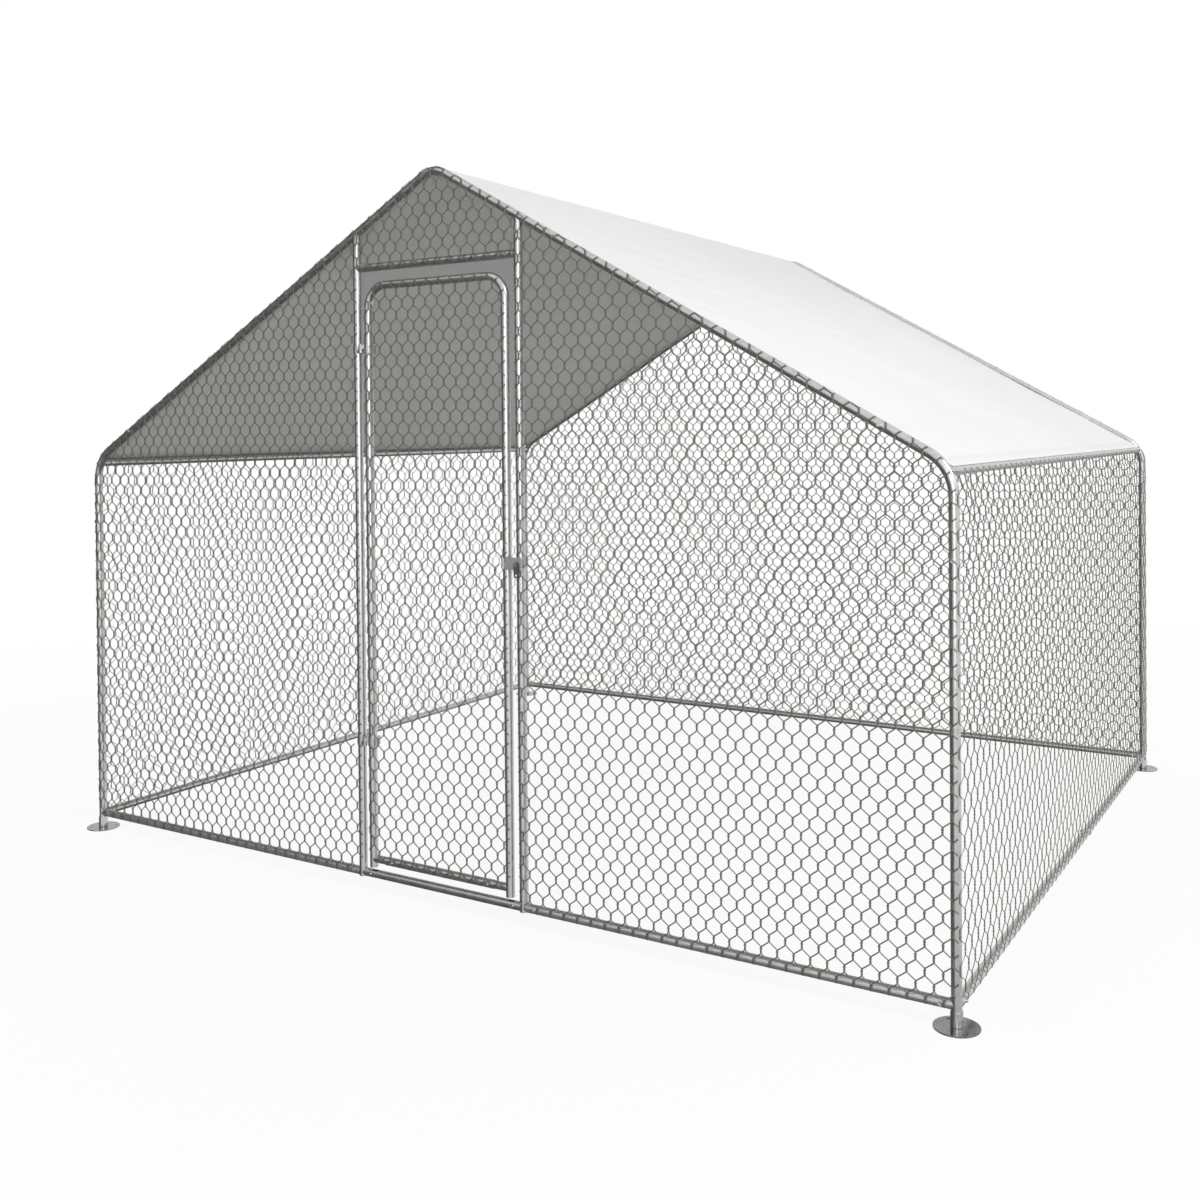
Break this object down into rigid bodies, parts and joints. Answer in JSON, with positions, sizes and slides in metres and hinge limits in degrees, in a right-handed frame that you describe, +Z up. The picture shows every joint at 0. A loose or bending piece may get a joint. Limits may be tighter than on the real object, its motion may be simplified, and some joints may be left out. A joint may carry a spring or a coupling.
{
  "type": "chicken pen",
  "caption": "Walk-in poultry run of galvanised tube with a gable roof, hexagonal wire netting, a white roof sheet and a narrow hinged door with a hasp latch.",
  "frame": {"origin": "on the ground, midway between the four foot plates", "axes": "+X to the right across the door gable, +Y from the door gable to the back gable, +Z up"},
  "size_m": [3.082, 2.682, 2.1218],
  "materials": {
    "zinc_tube": "galvanised, satin",
    "net_wire": "galvanised wire",
    "cover_sheet": "white coated sheet",
    "zinc_fastener": "zinc plated",
    "zinc_clamp": "zinc plated strip",
    "dark_latch": "dark enamel"
  },
  "bodies": {
    "frame": {"foot_front_left": "zinc_tube", "post_front_left": "zinc_tube", "eave_bend_front_left": "zinc_tube", "rafter_front_left": "zinc_tube", "foot_back_left": "zinc_tube", "post_back_left": "zinc_tube", "eave_bend_back_left": "zinc_tube", "rafter_back_left": "zinc_tube", "foot_front_right": "zinc_tube", "post_front_right": "zinc_tube", "eave_bend_front_right": "zinc_tube", "rafter_front_right": "zinc_tube", "foot_back_right": "zinc_tube", "post_back_right": "zinc_tube", "eave_bend_back_right": "zinc_tube", "rafter_back_right": "zinc_tube", "base_rail_left_front": "zinc_tube", "eave_rail_left_front": "zinc_tube", "base_rail_left_back": "zinc_tube", "eave_rail_left_back": "zinc_tube", "base_rail_front_left": "zinc_tube", "base_rail_back_left": "zinc_tube", "door_post_base_left": "zinc_tube", "door_post_left": "zinc_tube", "net_front_left": "net_wire", "net_left": "net_wire", "base_rail_right_front": "zinc_tube", "eave_rail_right_front": "zinc_tube", "base_rail_right_back": "zinc_tube", "eave_rail_right_back": "zinc_tube", "base_rail_front_right": "zinc_tube", "base_rail_back_right": "zinc_tube", "door_post_base_right": "zinc_tube", "door_post_right": "zinc_tube", "net_front_right": "net_wire", "net_right": "net_wire", "ridge_rail_front": "zinc_tube", "ridge_rail_back": "zinc_tube", "apex_bend_front": "zinc_tube", "apex_bend_back": "zinc_tube", "door_sill": "zinc_tube", "door_header": "zinc_tube", "net_front_top": "net_wire", "net_back": "net_wire", "roof_cover": "cover_sheet", "joint_bolts": "zinc_fastener", "hinge_pintle_bands": "zinc_clamp", "latch_stud_band": "zinc_clamp", "post_clamp_bolts": "zinc_fastener"},
    "door": {"door_hoop": "zinc_tube", "door_bottom_bar": "zinc_tube", "door_net": "net_wire", "door_bolts": "zinc_fastener", "hinge_eye_bands": "zinc_clamp", "latch_band": "zinc_clamp", "hasp_pin": "zinc_fastener", "door_clamp_bolts": "zinc_fastener"},
    "hasp": {"hasp": "zinc_clamp"},
    "tab": {"turning_tab": "dark_latch"}
  },
  "joints": [
    {"name": "door_swing", "type": "hinge", "parent": "frame", "child": "door", "pos_m": [-0.271, -1.2995, 1.0275], "axis": [0, 0, -1], "range_deg": [0, 110]},
    {"name": "hasp_swing", "type": "hinge", "parent": "door", "child": "hasp", "pos_m": [0.246, -1.308, 1], "axis": [0, 0, -1], "range_deg": [0, 165]},
    {"name": "tab_turn", "type": "hinge", "parent": "frame", "child": "tab", "pos_m": [0.292, -1.308, 0.997], "axis": [0, 1, 0], "range_deg": [-90, 90]}
  ]
}
